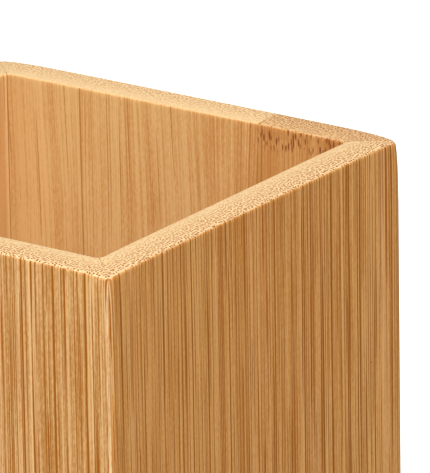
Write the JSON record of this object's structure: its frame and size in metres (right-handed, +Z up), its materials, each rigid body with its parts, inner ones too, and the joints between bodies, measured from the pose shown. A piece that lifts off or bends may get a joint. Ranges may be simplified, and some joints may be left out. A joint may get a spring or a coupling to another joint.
{
  "type": "umbrella stand",
  "caption": "Tall square umbrella stand of mitred bamboo boards, open at the top, with a lift-out metal drip tray inside and short rubber feet.",
  "frame": {"origin": "on the floor under the centre of the stand", "axes": "+Z up along the stand's height; X and Y square to its four boards, with -Y the front board's side"},
  "size_m": [0.15, 0.15, 0.5],
  "materials": {
    "bamboo_board": "carbonised bamboo, fine dark fibre streaks along the height, satin clear lacquer",
    "bamboo_panel": "strip-laminated bamboo panel, satin clear lacquer",
    "bamboo_spline": "unfinished sawn bamboo",
    "tray_steel": "pressed stainless steel, fine satin brushing",
    "zinc_steel": "bright zinc-plated steel",
    "foot_rubber": "moulded black rubber, matt"
  },
  "bodies": {
    "stand": {"wall_front": "bamboo_board", "wall_right": "bamboo_board", "wall_back": "bamboo_board", "wall_left": "bamboo_board", "mitre_spline_front_right": "bamboo_spline", "mitre_spline_back_right": "bamboo_spline", "mitre_spline_back_left": "bamboo_spline", "mitre_spline_front_left": "bamboo_spline", "base_board": "bamboo_panel", "foot_front_right": "foot_rubber", "foot_back_right": "foot_rubber", "foot_back_left": "foot_rubber", "foot_front_left": "foot_rubber", "foot_washer_front_right": "zinc_steel", "foot_washer_back_right": "zinc_steel", "foot_washer_back_left": "zinc_steel", "foot_washer_front_left": "zinc_steel", "foot_screw_front_right": "zinc_steel", "foot_screw_back_right": "zinc_steel", "foot_screw_back_left": "zinc_steel", "foot_screw_front_left": "zinc_steel"},
    "tray": {"drip_tray": "tray_steel"}
  },
  "joints": [
    {"name": "tray_lift", "type": "slide", "parent": "stand", "child": "tray", "axis": [0, 0, 1], "range_m": [0, 0.52]}
  ]
}
